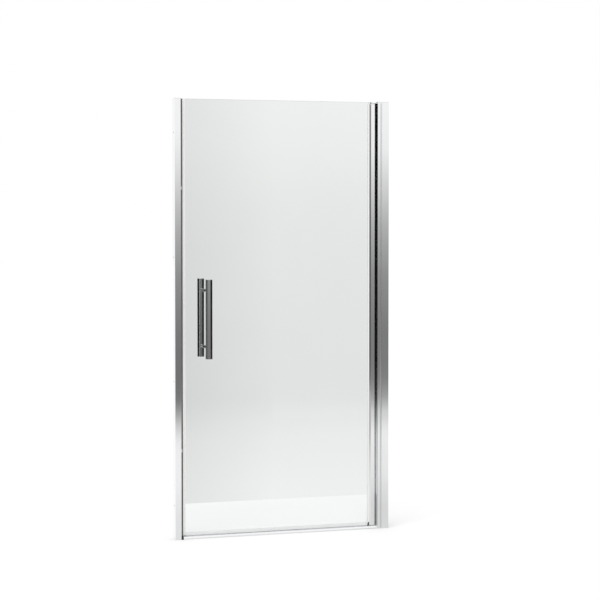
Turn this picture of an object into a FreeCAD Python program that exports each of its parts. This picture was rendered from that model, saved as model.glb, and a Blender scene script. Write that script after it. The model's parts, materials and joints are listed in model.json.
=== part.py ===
import FreeCAD, Part
import math
import os

# Pivot shower door for a recess between two walls. All sizes are in millimetres.
# X runs to the right as seen from outside, Y runs into the shower and Z runs up.
# The origin is on the tray, midway between the walls, in the middle of the closed glass.

# Whole opening
WIDTH = 1000.0                # over the backs of the two wall channels
HEIGHT = 1950.0               # tray to the top of the jamb caps

# Wall channels, one U section for each wall
CHANNEL_DEPTH = 50.0
CHANNEL_LEG = 1.6
CHANNEL_WEB = 1.8
STRIKE_COVER = 23.2           # how far the strike channel's legs reach from the wall
HINGE_COVER = 32.2            # the same for the hinge channel
WALL_HOLE_RADIUS = 3.0
WALL_HOLE_COUNT = 4
WALL_HOLE_END = 150.0         # first hole above the tray, last hole below the top

# Profiles that slide in the channels
SLIDE_GAP = 0.3               # each side, between profile and channel leg
PROFILE_WALL = 1.8
PROFILE_CORNER = 1.0
STRIKE_FACE = 27.75           # strike jamb's face, from the wall
STRIKE_TAIL = 5.0             # open ends of its legs, from the wall
POST_FACE = 52.4              # hinge post's face, from the wall
POST_TAIL = 15.4              # back of the post, from the wall
GROOVE_START = 12.0           # shadow groove behind the post's face
GROOVE_WIDTH = 7.0
GROOVE_DEPTH = 1.5

# T-slot in both profiles, for the magnet carrier and for the wiper
SLOT_NECK = 6.0
SLOT_ROOM = 10.4
SLOT_ROOM_DEPTH = 2.4
SLOT_WALL = 1.5
SLOT_FIT = 0.1

# Fixing screws of the strike jamb, in a rib groove of its channel
JAMB_SCREW_END = 395.0        # from each end of the jamb
JAMB_SCREW_Y = -16.5
JAMB_SCREW_TIP = 4.0          # from the wall
RIB_WALL = 1.4
RIB_REACH = 12.0
COVER_RADIUS = 8.0
COVER_TOP_RADIUS = 5.2
COVER_HEIGHT = 6.0
COVER_HOLLOW = 0.5            # room round the screw head inside

# Screws in general
SCREW_RADIUS = 2.0
SCREW_HEAD_RADIUS = 3.8
SCREW_HEAD_HEIGHT = 2.5
SCREW_CLEARANCE = 0.3         # clearance holes
THREAD_CLEARANCE = 0.05       # tapped holes, ports and grooves

# Fixing screws of the hinge post, on the shower side
POST_SCREW_FROM_TAIL = 5.6
POST_SCREW_LENGTH = 10.0

# Screw port on the post's back wall, for the screws of the pivot brackets
PORT_WALL = 2.0
PORT_SLOT = 2.0
PORT_SINK = 0.9               # how far the port's wall merges into the post's wall
PORT_SCREW_LENGTH = 25.0
PORT_HEAD_RADIUS = 3.9
PORT_HEAD_HEIGHT = 2.2

# Magnetic catch
CARRIER_OUT = 8.25
CARRIER_HALF = 8.0
CARRIER_BEVEL = 1.0
MAGNET_THICK = 5.2
MAGNET_HALF = 5.0
MAGNET_SKIN = 1.3             # carrier wall in front of its magnet
MAGNET_FIT = 0.05
CATCH_GAP = 0.3
LEAF_MAGNET_THICK = 4.0
LEAF_MAGNET_HALF = 7.2

# Edge seal on the glass
SEAL_WEB = 5.3                # hollow part between the magnet strip and the glass
SEAL_WALL = 1.0
SEAL_LEG = 1.2
SEAL_GRIP = 5.0
SEAL_LIP = 2.2
SEAL_LIP_WALL = 0.8
SEAL_ROUND = 0.8              # its two corners on the glass side

# Glass
GLASS_THICK = 8.0
GLASS_TOP_DROP = 1.5          # below the top of the jamb caps
GLASS_ARRIS = 0.5             # bevel along all its edges
NOTCH_CLEARANCE = 0.7         # beside the jaws
NOTCH_DROP = 0.2              # below the stile's top

# Pivot stile
NOSE_GAP = 5.7                # nose to the post's face
STILE_HALF = 10.8             # half its depth, over the flat faces
STILE_WALL = 2.8
NOSE_REACH = 8.1              # from the pivot axis to where the flat faces turn into the nose
SHOULDER_REACH = 8.7          # from the pivot axis to where the shoulders start
JAW_REACH = 15.2              # from the pivot axis to the ends of the jaws
JAW_WALL = 0.9                # at the ends of the jaws
GLASS_GRIP = 6.0              # glass inside the jaws
END_CAP = 2.0
PLUG_LENGTH = 40.0
PLUG_FIT = 0.15
TOE_HEIGHT = 14.5
TOE_REACH = 6.7
TOE_FRONT = 3.5
TOE_HALF = 6.8

# Glazing gasket
GASKET_SKIN = 1.0
GASKET_OUT = 7.2
GASKET_TIP = 1.0

# Pivots, with the same pin and the same flanged bush at the top and the bottom
PIN_RADIUS = 4.0
PIN_LENGTH = 35.0
PIN_SEAT_FIT = 0.02
PIN_RUNNING_FIT = 0.05
PIN_END_GAP = 1.0
PIN_SEAT_DEPTH = 10.0         # in the bottom block
BUSH_WALL = 1.5
BUSH_FIT = 0.05
BUSH_LENGTH = 22.0            # inside the plug
FLANGE_RADIUS = 9.0
FLANGE_THICK = 2.0            # carries the leaf at the bottom
ARM_THICK = 5.0
ARM_HALF = 11.2
TOP_PLAY = 0.3                # between the arm and the top bush's flange
CAP_THICK = 2.0
CAP_SKIRT = 10.0
CAP_SKIRT_WALL = 1.5

# Wiper gasket on the post
WIPER_GAP = 0.5
WIPER_BASE = 1.2
WIPER_BASE_HALF = 5.0
WIPER_ROOT_HALF = 1.6
WIPER_TIP_HALF = 0.6
WIPER_END_GAP = 0.3

# Threshold sill and pivot block
SILL_HALF = 23.0
SILL_HEIGHT = 12.5
SILL_LIP = 5.0
SILL_TOP_HALF = 17.0
SILL_WALL = 1.5
SILL_ROUND = 3.0
SILL_LEG_HALF = 8.0
SILL_BLOCK_WIDTH = 10.0
SILL_BLOCK_HEIGHT = 15.0
SPIGOT_LENGTH = 8.0
SPIGOT_GAP = 0.2
BLOCK_START_GAP = 8.2         # from the jaws' ends to the sill's end
BLOCK_POST_GAP = 0.3
TONGUE_THICK = 5.0

# Drip seal under the glass
DRIP_LEG = 12.0
DRIP_WALL = 1.0
DRIP_WEB = 1.5
DRIP_FIN_HALF = 0.6
DRIP_RUN_GAP = 0.3
DRIP_BLADE_OUT = 5.0
DRIP_BLADE_WALL = 0.9
DRIP_END_GAP = 0.5

# Back-to-back handle
HANDLE_INSET = 95.0           # from the glass edge
HANDLE_HEIGHT = 977.0
HANDLE_LENGTH = 350.0
HANDLE_STANDOFF = 75.0        # glass plane to the bar's axis
BAR_RADIUS = 15.0
BAR_WALL = 1.5
BAR_PLUG = 5.0                # thickness of the plug in each end
POST_SPACING = 250.0
HANDLE_POST_RADIUS = 6.0
STUD_RADIUS = 3.0
STUD_INTO_POST = 20.0
STUD_END_GAP = 2.0
GLASS_HOLE_RADIUS = 7.0
SLEEVE_PROUD = 1.5            # beyond the glass, so that each post seats on it
SLEEVE_FIT = 0.05

TINY = 0.001

# Places worked out from the sizes above
STRIKE = -1
HINGE = 1
CHANNEL_TOP = HEIGHT - CAP_THICK
CHANNEL_INNER_HALF = CHANNEL_DEPTH / 2 - CHANNEL_LEG
PROFILE_HALF = CHANNEL_INNER_HALF - SLIDE_GAP
STRIKE_FACE_X = STRIKE_FACE - WIDTH / 2
POST_FACE_X = WIDTH / 2 - POST_FACE
POST_TAIL_X = WIDTH / 2 - POST_TAIL
POST_BOTTOM = TONGUE_THICK
POST_TOP = CHANNEL_TOP - ARM_THICK
PORT_BORE = SCREW_RADIUS + THREAD_CLEARANCE
PORT_OUTER = PORT_BORE + PORT_WALL
PORT_X = POST_TAIL_X - PROFILE_WALL + PORT_SINK - PORT_OUTER
NOSE_RADIUS = math.hypot(NOSE_REACH, STILE_HALF)
PIVOT_X = POST_FACE_X - NOSE_GAP - NOSE_RADIUS
JAW_X = PIVOT_X - JAW_REACH
GASKET_X = JAW_X - GASKET_OUT
GLASS_HALF = GLASS_THICK / 2
GLASS_RIGHT = JAW_X + GLASS_GRIP
CATCH_X = STRIKE_FACE_X + CARRIER_OUT
LEAF_MAGNET_X = CATCH_X + CATCH_GAP
SEAL_X = LEAF_MAGNET_X + LEAF_MAGNET_THICK
GLASS_LEFT = SEAL_X + SEAL_WEB
GLASS_TOP = HEIGHT - GLASS_TOP_DROP
STILE_FOOT = SILL_HEIGHT + FLANGE_THICK
STILE_BOTTOM = STILE_FOOT + END_CAP
STILE_CROWN = POST_TOP - TOP_PLAY - FLANGE_THICK
STILE_TOP = STILE_CROWN - END_CAP
PLUG_BORE = PIN_LENGTH - (CHANNEL_TOP - STILE_CROWN) + PIN_END_GAP
GLASS_BOTTOM = STILE_BOTTOM
GASKET_BOTTOM = STILE_FOOT + TOE_HEIGHT
CHAMBER_RADIUS = STILE_HALF - STILE_WALL
POCKET_HALF = GLASS_HALF + GASKET_SKIN
JAW_HALF = POCKET_HALF + JAW_WALL
BUSH_BORE = PIN_RADIUS + PIN_RUNNING_FIT
BUSH_RADIUS = BUSH_BORE + BUSH_WALL
SILL_END_X = JAW_X - BLOCK_START_GAP
SILL_START_X = STRIKE_FACE_X + SILL_BLOCK_WIDTH
HANDLE_X = GLASS_LEFT + HANDLE_INSET
HANDLE_POST_HEIGHTS = [HANDLE_HEIGHT - POST_SPACING / 2, HANDLE_HEIGHT + POST_SPACING / 2]
HANDLE_SEAT = GLASS_HALF + SLEEVE_PROUD
JAMB_SCREW_HEIGHTS = [JAMB_SCREW_END, HEIGHT - JAMB_SCREW_END]


# Geometry helpers

def point(x, y, z=0.0):
    return FreeCAD.Vector(x, y, z)


def flat_face(corners):
    """A face in the XY plane. A corner is (x, y) or (x, y, radius); a radius rounds it with an arc."""
    turns = []
    for index, corner in enumerate(corners):
        here = point(corner[0], corner[1])
        radius = corner[2] if len(corner) > 2 else 0.0
        if radius < TINY:
            turns.append((here, None, here))
            continue
        before = corners[index - 1]
        after = corners[(index + 1) % len(corners)]
        back = point(before[0], before[1]) - here
        ahead = point(after[0], after[1]) - here
        back.normalize()
        ahead.normalize()
        half_angle = back.getAngle(ahead) / 2
        inward = back + ahead
        inward.normalize()
        reach = radius / math.tan(half_angle)
        middle = here + inward * (radius / math.sin(half_angle) - radius)
        turns.append((here + back * reach, middle, here + ahead * reach))
    edges = []
    for index, (start, middle, end) in enumerate(turns):
        if middle is not None:
            edges.append(Part.Arc(start, middle, end).toShape())
        following = turns[(index + 1) % len(turns)][0]
        if end.distanceToPoint(following) > TINY:
            edges.append(Part.LineSegment(end, following).toShape())
    return Part.Face(Part.Wire(edges))


def upright(face, z0, z1):
    """A plan section extruded from height z0 to height z1."""
    solid = face.extrude(point(0, 0, z1 - z0))
    solid.translate(point(0, 0, z0))
    return solid


def lengthwise(face, x0, x1):
    """A cross-section drawn as (y, z), extruded from x0 to x1."""
    solid = face.extrude(point(0, 0, x1 - x0))
    solid.rotate(point(0, 0, 0), point(1, 1, 1), 120)
    solid.translate(point(x0, 0, 0))
    return solid


def crosswise(face, y0, y1):
    """A side view drawn as (x, z), extruded from y0 to y1."""
    solid = face.extrude(point(0, 0, y1 - y0))
    solid.rotate(point(0, 0, 0), point(1, 0, 0), 90)
    solid.translate(point(0, y1, 0))
    return solid


def block(x0, x1, y0, y1, z0, z1):
    return Part.makeBox(x1 - x0, y1 - y0, z1 - z0, point(x0, y0, z0))


def rod(radius, start, direction, length):
    return Part.makeCylinder(radius, length, start, direction)


def ring(outer, inner, start, direction, length):
    return rod(outer, start, direction, length).cut(rod(inner, start, direction, length))


def fused(shapes):
    return shapes[0].multiFuse(shapes[1:]).removeSplitter()


def cut_all(shape, tools):
    return shape.cut(Part.makeCompound(tools)) if tools else shape


def mirrored(shape):
    """The same shape on the other side of the glass plane."""
    return shape.mirror(point(0, 0, 0), point(0, 1, 0))


def both_sides(shape):
    return [shape, mirrored(shape)]


def aimed(shape, position, direction):
    """Turns a shape built along +Z to point in a direction, and moves it to a position."""
    turned = shape.copy()
    turned.Placement = FreeCAD.Placement(position, FreeCAD.Rotation(point(0, 0, 1), direction))
    return turned


def pan_screw(radius, length, head_radius, head_height):
    """A screw along +Z: the head's underside is at the origin and the shank points down."""
    head = rod(head_radius, point(0, 0, 0), point(0, 0, 1), head_height)
    shank = rod(radius, point(0, 0, -length), point(0, 0, 1), length)
    return fused([head, shank])


def sunk_screw(radius, length, head_radius, head_height):
    """A countersunk screw along +Z: the head's flat top is at the origin."""
    head = Part.makeCone(radius, head_radius, head_height, point(0, 0, -head_height), point(0, 0, 1))
    shank = rod(radius, point(0, 0, -length), point(0, 0, 1), length - head_height)
    return fused([head, shank])


def from_wall(side, distance):
    """X at a distance from the strike wall or the hinge wall."""
    return side * (WIDTH / 2 - distance)


def plan_from_wall(side, corners):
    """A plan face whose first numbers are distances from a wall."""
    return flat_face([(from_wall(side, corner[0]),) + tuple(corner[1:]) for corner in corners])


def bar_from_wall(side, near, far, half, z0, z1):
    """An upright bar between two distances from a wall, centred on the glass plane."""
    ends = sorted([from_wall(side, near), from_wall(side, far)])
    return block(ends[0], ends[1], -half, half, z0, z1)


# Wall channels

def wall_hole_heights():
    step = (HEIGHT - 2 * WALL_HOLE_END) / (WALL_HOLE_COUNT - 1)
    return [WALL_HOLE_END + index * step for index in range(WALL_HOLE_COUNT)]


def wall_channel(side, cover):
    half = CHANNEL_DEPTH / 2
    section = plan_from_wall(side, [
        (0, -half), (cover, -half), (cover, -CHANNEL_INNER_HALF),
        (CHANNEL_WEB, -CHANNEL_INNER_HALF), (CHANNEL_WEB, CHANNEL_INNER_HALF),
        (cover, CHANNEL_INNER_HALF), (cover, half), (0, half)])
    channel = upright(section, 0, CHANNEL_TOP)
    inward = point(-side, 0, 0)
    holes = [rod(WALL_HOLE_RADIUS, point(from_wall(side, 0), 0, z), inward, CHANNEL_WEB)
             for z in wall_hole_heights()]
    return cut_all(channel, holes)


def strike_channel():
    """The strike channel also has two pairs of ribs that the jamb's screws bite into."""
    channel = wall_channel(STRIKE, STRIKE_COVER)
    groove_half = SCREW_RADIUS + THREAD_CLEARANCE
    ends = sorted([from_wall(STRIKE, CHANNEL_WEB), from_wall(STRIKE, RIB_REACH)])
    ribs = []
    for side_of_groove in (-1, 1):
        inner = JAMB_SCREW_Y + side_of_groove * groove_half
        outer = inner + side_of_groove * RIB_WALL
        low, high = sorted([inner, outer])
        ribs.extend(both_sides(block(ends[0], ends[1], low, high, 0, CHANNEL_TOP)))
    return fused([channel] + ribs)


def hinge_channel():
    return cut_all(wall_channel(HINGE, HINGE_COVER), post_screw_holes())


# T-slot shared by the jamb and the post

def slot_boss(side, face, z0, z1):
    depth = PROFILE_WALL + SLOT_ROOM_DEPTH + SLOT_WALL
    return bar_from_wall(side, face - depth, face - PROFILE_WALL / 2, SLOT_ROOM / 2 + SLOT_WALL, z0, z1)


def slot_space(side, face, z0, z1):
    neck = bar_from_wall(side, face - PROFILE_WALL, face, SLOT_NECK / 2, z0, z1)
    room_floor = face - PROFILE_WALL - SLOT_ROOM_DEPTH
    room = bar_from_wall(side, room_floor, face - PROFILE_WALL, SLOT_ROOM / 2, z0, z1)
    return neck.fuse(room)


def slot_anchor(side, face, z0, z1):
    """The foot of a push-in gasket, which fills the slot with a small clearance."""
    room_floor = face - PROFILE_WALL - SLOT_ROOM_DEPTH + SLOT_FIT
    neck = bar_from_wall(side, face - PROFILE_WALL - SLOT_FIT, face, SLOT_NECK / 2 - SLOT_FIT, z0, z1)
    foot = bar_from_wall(side, room_floor, face - PROFILE_WALL - SLOT_FIT, SLOT_ROOM / 2 - SLOT_FIT, z0, z1)
    return [neck, foot]


# Strike side

def strike_jamb():
    inner = PROFILE_HALF - PROFILE_WALL
    back = STRIKE_FACE - PROFILE_WALL
    shell = upright(plan_from_wall(STRIKE, [
        (STRIKE_TAIL, -PROFILE_HALF), (STRIKE_FACE, -PROFILE_HALF, PROFILE_CORNER),
        (STRIKE_FACE, PROFILE_HALF, PROFILE_CORNER), (STRIKE_TAIL, PROFILE_HALF),
        (STRIKE_TAIL, inner), (back, inner), (back, -inner), (STRIKE_TAIL, -inner)]), 0, CHANNEL_TOP)
    jamb = fused([shell, slot_boss(STRIKE, STRIKE_FACE, 0, CHANNEL_TOP)])
    tools = [slot_space(STRIKE, STRIKE_FACE, 0, CHANNEL_TOP)]
    for z in JAMB_SCREW_HEIGHTS:
        start = point(STRIKE_FACE_X, JAMB_SCREW_Y, z)
        tools.append(rod(SCREW_RADIUS + SCREW_CLEARANCE, start, point(-1, 0, 0), PROFILE_WALL))
    for tool in tools:
        jamb = jamb.cut(tool)
    return jamb


def strike_jamb_screws():
    length = STRIKE_FACE - JAMB_SCREW_TIP
    screw = pan_screw(SCREW_RADIUS, length, SCREW_HEAD_RADIUS, SCREW_HEAD_HEIGHT)
    return [aimed(screw, point(STRIKE_FACE_X, JAMB_SCREW_Y, z), point(1, 0, 0))
            for z in JAMB_SCREW_HEIGHTS]


def screw_cover_caps():
    """Tapered caps, each with a round room for its screw's head."""
    body = Part.makeCone(COVER_RADIUS, COVER_TOP_RADIUS, COVER_HEIGHT)
    room = rod(SCREW_HEAD_RADIUS + COVER_HOLLOW, point(0, 0, 0), point(0, 0, 1),
               SCREW_HEAD_HEIGHT + COVER_HOLLOW)
    cap = body.cut(room)
    return [aimed(cap, point(STRIKE_FACE_X, JAMB_SCREW_Y, z), point(1, 0, 0))
            for z in JAMB_SCREW_HEIGHTS]


def strike_magnet_room(fit):
    front = STRIKE_FACE + CARRIER_OUT - MAGNET_SKIN
    return front + fit, front - MAGNET_THICK - fit, MAGNET_HALF + fit


def strike_magnet_carrier():
    face = STRIKE_FACE
    front = face + CARRIER_OUT
    body = upright(plan_from_wall(STRIKE, [
        (face, -CARRIER_HALF), (front - CARRIER_BEVEL, -CARRIER_HALF), (front, CARRIER_BEVEL - CARRIER_HALF),
        (front, CARRIER_HALF - CARRIER_BEVEL), (front - CARRIER_BEVEL, CARRIER_HALF), (face, CARRIER_HALF)]),
        SILL_BLOCK_HEIGHT, CHANNEL_TOP)
    solid = fused([body] + slot_anchor(STRIKE, face, SILL_BLOCK_HEIGHT, CHANNEL_TOP))
    near, far, half = strike_magnet_room(MAGNET_FIT)
    return solid.cut(bar_from_wall(STRIKE, near, far, half, SILL_BLOCK_HEIGHT, CHANNEL_TOP))


def strike_magnet():
    front, back, half = strike_magnet_room(0.0)
    return bar_from_wall(STRIKE, back, front, half, SILL_BLOCK_HEIGHT, CHANNEL_TOP)


def top_cap(side, face, skirt_start, skirt_end, skirt_half):
    """A flat cap over a jamb, with a skirt that plugs into the hollow behind the profile."""
    half = CHANNEL_DEPTH / 2
    plate = upright(plan_from_wall(side, [
        (0, -half), (face, -half, PROFILE_CORNER), (face, half, PROFILE_CORNER), (0, half)]),
        CHANNEL_TOP, HEIGHT)
    outer = bar_from_wall(side, skirt_start, skirt_end, skirt_half, CHANNEL_TOP - CAP_SKIRT, CHANNEL_TOP)
    inner = bar_from_wall(side, skirt_start + CAP_SKIRT_WALL, skirt_end - CAP_SKIRT_WALL,
                          skirt_half - CAP_SKIRT_WALL, CHANNEL_TOP - CAP_SKIRT, CHANNEL_TOP)
    return fused([plate, outer.cut(inner)])


def strike_top_cap():
    """The skirt lies between the channel's ribs and the jamb's slot."""
    start = RIB_REACH + SLIDE_GAP
    end = STRIKE_FACE - PROFILE_WALL - SLOT_ROOM_DEPTH - SLOT_WALL - SLIDE_GAP
    return top_cap(STRIKE, STRIKE_FACE, start, end, PROFILE_HALF - PROFILE_WALL - SLIDE_GAP)


# Hinge side

def post_outline(depth, corner):
    """The post's outer plan, drawn in by a depth, with the two corners at its face rounded."""
    half = PROFILE_HALF - depth
    return plan_from_wall(HINGE, [
        (POST_TAIL + depth, -half), (POST_FACE - depth, -half, corner),
        (POST_FACE - depth, half, corner), (POST_TAIL + depth, half)])


def post_groove(margin, z0, z1):
    """The shadow groove, or with a margin the wall that follows it inside."""
    far = POST_FACE - GROOVE_START + margin
    near = POST_FACE - GROOVE_START - GROOVE_WIDTH - margin
    ends = sorted([from_wall(HINGE, near), from_wall(HINGE, far)])
    low = -PROFILE_HALF
    return block(ends[0], ends[1], low, low + GROOVE_DEPTH + margin, z0, z1)


def hinge_post():
    """A box extrusion with a screw port, a shadow groove front and back and the wiper's slot."""
    z0 = POST_BOTTOM
    z1 = POST_TOP
    solid = upright(post_outline(0.0, PROFILE_CORNER), z0, z1)
    shell = solid.cut(upright(post_outline(PROFILE_WALL, 0.0), z0, z1))
    groove_walls = both_sides(post_groove(PROFILE_WALL, z0, z1))
    port = rod(PORT_OUTER, point(PORT_X, 0, z0), point(0, 0, 1), z1 - z0)
    post = fused([shell, slot_boss(HINGE, POST_FACE, z0, z1), port] + groove_walls)
    tools = both_sides(post_groove(0.0, z0, z1))
    tools.append(rod(PORT_BORE, point(PORT_X, 0, z0), point(0, 0, 1), z1 - z0))
    tools.append(block(PORT_X - PORT_OUTER, PORT_X, -PORT_SLOT / 2, PORT_SLOT / 2, z0, z1))
    tools.append(slot_space(HINGE, POST_FACE, z0, z1))
    tools.extend(post_screw_holes())
    for tool in tools:
        post = post.cut(tool)
    return post


def post_screw_places():
    x = POST_TAIL_X - POST_SCREW_FROM_TAIL
    return [point(x, CHANNEL_DEPTH / 2, z) for z in JAMB_SCREW_HEIGHTS]


def post_screw_holes():
    radius = SCREW_RADIUS + THREAD_CLEARANCE
    return [rod(radius, place, point(0, -1, 0), POST_SCREW_LENGTH) for place in post_screw_places()]


def hinge_post_screws():
    screw = pan_screw(SCREW_RADIUS, POST_SCREW_LENGTH, SCREW_HEAD_RADIUS, SCREW_HEAD_HEIGHT)
    return [aimed(screw, place, point(0, 1, 0)) for place in post_screw_places()]


def hinge_top_cap():
    start = CHANNEL_WEB + SLIDE_GAP
    return top_cap(HINGE, POST_FACE, start, POST_TAIL - SLIDE_GAP, PROFILE_HALF)


def wiper_gasket():
    z0 = SILL_HEIGHT + WIPER_END_GAP
    z1 = POST_TOP - WIPER_END_GAP
    base_x = POST_FACE_X - WIPER_BASE
    tip_x = PIVOT_X + NOSE_RADIUS + WIPER_GAP
    profile = upright(flat_face([
        (POST_FACE_X, -WIPER_BASE_HALF), (POST_FACE_X, WIPER_BASE_HALF),
        (base_x, WIPER_BASE_HALF - WIPER_BASE), (base_x, WIPER_ROOT_HALF),
        (tip_x, WIPER_TIP_HALF), (tip_x, -WIPER_TIP_HALF),
        (base_x, -WIPER_ROOT_HALF), (base_x, WIPER_BASE - WIPER_BASE_HALF)]), z0, z1)
    return fused([profile] + slot_anchor(HINGE, POST_FACE, z0, z1))


# Pivot brackets, pins and their screws

def port_screw_hole(face_z, direction):
    """A countersunk hole over the post's screw port."""
    screw = sunk_screw(SCREW_RADIUS + THREAD_CLEARANCE, PORT_SCREW_LENGTH,
                       PORT_HEAD_RADIUS + THREAD_CLEARANCE, PORT_HEAD_HEIGHT)
    return aimed(screw, point(PORT_X, 0, face_z), point(0, 0, direction))


def pivot_bracket_screws():
    screw = sunk_screw(SCREW_RADIUS, PORT_SCREW_LENGTH, PORT_HEAD_RADIUS, PORT_HEAD_HEIGHT)
    return [aimed(screw, point(PORT_X, 0, CHANNEL_TOP), point(0, 0, 1)),
            aimed(screw, point(PORT_X, 0, 0), point(0, 0, -1))]


def top_pivot_arm():
    z0 = POST_TOP
    z1 = CHANNEL_TOP
    tongue = upright(post_outline(0.0, PROFILE_CORNER), z0, z1)
    arm = block(PIVOT_X, POST_FACE_X + PROFILE_WALL, -ARM_HALF, ARM_HALF, z0, z1)
    eye = rod(ARM_HALF, point(PIVOT_X, 0, z0), point(0, 0, 1), ARM_THICK)
    plate = fused([tongue, arm, eye])
    seat = rod(PIN_RADIUS + PIN_SEAT_FIT, point(PIVOT_X, 0, z0), point(0, 0, 1), ARM_THICK)
    return cut_all(plate, [port_screw_hole(z1, 1), seat])


def pivot_pins():
    """Two like pins. One hangs from the arm and the other stands in the block."""
    return [rod(PIN_RADIUS, point(PIVOT_X, 0, CHANNEL_TOP), point(0, 0, -1), PIN_LENGTH),
            rod(PIN_RADIUS, point(PIVOT_X, 0, SILL_HEIGHT - PIN_SEAT_DEPTH), point(0, 0, 1), PIN_LENGTH)]


def sill_outline(height):
    """The sill's outer cross-section, also used by the pieces at its two ends."""
    rise = height - SILL_HEIGHT
    return flat_face([
        (-SILL_HALF, 0), (-SILL_HALF, SILL_LIP + rise), (-SILL_TOP_HALF, height, SILL_ROUND),
        (SILL_TOP_HALF, height, SILL_ROUND), (SILL_HALF, SILL_LIP + rise), (SILL_HALF, 0)])


def sill_spigot(x0, x1):
    """A tongue that plugs the sill's middle hollow."""
    half = SILL_LEG_HALF - SILL_WALL / 2 - SPIGOT_GAP
    return block(x0, x1, -half, half, SPIGOT_GAP, SILL_HEIGHT - SILL_WALL - SPIGOT_GAP)


def bottom_pivot_block():
    end_x = POST_FACE_X - BLOCK_POST_GAP
    body = lengthwise(sill_outline(SILL_HEIGHT), SILL_END_X, end_x)
    link = block(end_x - SILL_HEIGHT, POST_FACE_X + PROFILE_CORNER,
                 -SILL_TOP_HALF, SILL_TOP_HALF, 0, TONGUE_THICK)
    tongue = upright(post_outline(0.0, PROFILE_CORNER), 0, TONGUE_THICK)
    spigot = sill_spigot(SILL_END_X - SPIGOT_LENGTH, SILL_END_X)
    solid = fused([body, link, tongue, spigot])
    seat = rod(PIN_RADIUS + PIN_SEAT_FIT, point(PIVOT_X, 0, SILL_HEIGHT), point(0, 0, -1), PIN_SEAT_DEPTH)
    return cut_all(solid, [port_screw_hole(0, -1), seat])


# Threshold

def threshold_sill():
    outer = lengthwise(sill_outline(SILL_HEIGHT), SILL_START_X, SILL_END_X)
    roof = SILL_HEIGHT - SILL_WALL
    inner_half = SILL_HALF - SILL_WALL
    hollow = lengthwise(flat_face([
        (-inner_half, 0), (-inner_half, SILL_LIP - SILL_WALL / 2), (SILL_WALL - SILL_TOP_HALF, roof),
        (SILL_TOP_HALF - SILL_WALL, roof), (inner_half, SILL_LIP - SILL_WALL / 2), (inner_half, 0)]),
        SILL_START_X, SILL_END_X)
    leg_inner = SILL_LEG_HALF - SILL_WALL / 2
    leg = block(SILL_START_X, SILL_END_X, leg_inner, leg_inner + SILL_WALL, 0, roof)
    return fused([outer.cut(hollow)] + both_sides(leg))


def sill_end_block():
    body = lengthwise(sill_outline(SILL_BLOCK_HEIGHT), STRIKE_FACE_X, SILL_START_X)
    return fused([body, sill_spigot(SILL_START_X, SILL_START_X + SPIGOT_LENGTH)])


# Leaf

def stile_outline():
    """The stile's plan: a nose round about the pivot axis, two flat faces and shoulders down to the jaws."""
    shoulder = PIVOT_X - SHOULDER_REACH
    upper = point(PIVOT_X + NOSE_REACH, STILE_HALF)
    lower = point(PIVOT_X + NOSE_REACH, -STILE_HALF)
    nose = Part.Arc(upper, point(PIVOT_X + NOSE_RADIUS, 0), lower).toShape()
    turns = [lower, point(shoulder, -STILE_HALF), point(JAW_X, -JAW_HALF),
             point(JAW_X, JAW_HALF), point(shoulder, STILE_HALF), upper]
    sides = [Part.LineSegment(start, end).toShape() for start, end in zip(turns, turns[1:])]
    return Part.Face(Part.Wire([nose] + sides))


def pivot_stile():
    solid = upright(stile_outline(), STILE_BOTTOM, STILE_TOP)
    length = STILE_TOP - STILE_BOTTOM
    chamber = rod(CHAMBER_RADIUS, point(PIVOT_X, 0, STILE_BOTTOM), point(0, 0, 1), length)
    pocket = block(JAW_X, PIVOT_X, -POCKET_HALF, POCKET_HALF, STILE_BOTTOM, STILE_TOP)
    return solid.cut(chamber.fuse(pocket))


def stile_end_plug(outside, direction):
    """An end cap of the stile with its round plug, bored for the bush."""
    inside = outside + direction * END_CAP
    cap = upright(stile_outline(), min(outside, inside), max(outside, inside))
    along = point(0, 0, direction)
    plug = rod(CHAMBER_RADIUS - PLUG_FIT, point(PIVOT_X, 0, inside), along, PLUG_LENGTH)
    bore = rod(BUSH_RADIUS + BUSH_FIT, point(PIVOT_X, 0, outside), along, PLUG_BORE)
    return fused([cap, plug]).cut(bore)


def stile_end_plugs():
    return [stile_end_plug(STILE_CROWN, -1), stile_end_plug(STILE_FOOT, 1)]


def glass_corner_support():
    """A wedge against the stile's foot, which clasps the bottom corner of the glass."""
    toe_x = JAW_X - TOE_REACH
    toe = crosswise(flat_face([
        (toe_x, STILE_FOOT), (JAW_X, STILE_FOOT), (JAW_X, STILE_FOOT + TOE_HEIGHT),
        (toe_x, STILE_FOOT + TOE_FRONT)]), -TOE_HALF, TOE_HALF)
    room = block(toe_x, JAW_X, -GLASS_HALF, GLASS_HALF, GLASS_BOTTOM, STILE_FOOT + TOE_HEIGHT)
    return toe.cut(room)


def pivot_bush(face_z, direction):
    """A flanged bush. Its flange lies outside the plug's face and its body inside."""
    face = point(PIVOT_X, 0, face_z)
    outward = point(0, 0, -direction)
    flange = rod(FLANGE_RADIUS, face, outward, FLANGE_THICK)
    body = rod(BUSH_RADIUS, face, point(0, 0, direction), BUSH_LENGTH)
    bore = rod(BUSH_BORE, face + outward * FLANGE_THICK, point(0, 0, direction), FLANGE_THICK + BUSH_LENGTH)
    return fused([flange, body]).cut(bore)


def pivot_bushes():
    return [pivot_bush(STILE_CROWN, -1), pivot_bush(STILE_FOOT, 1)]


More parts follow.
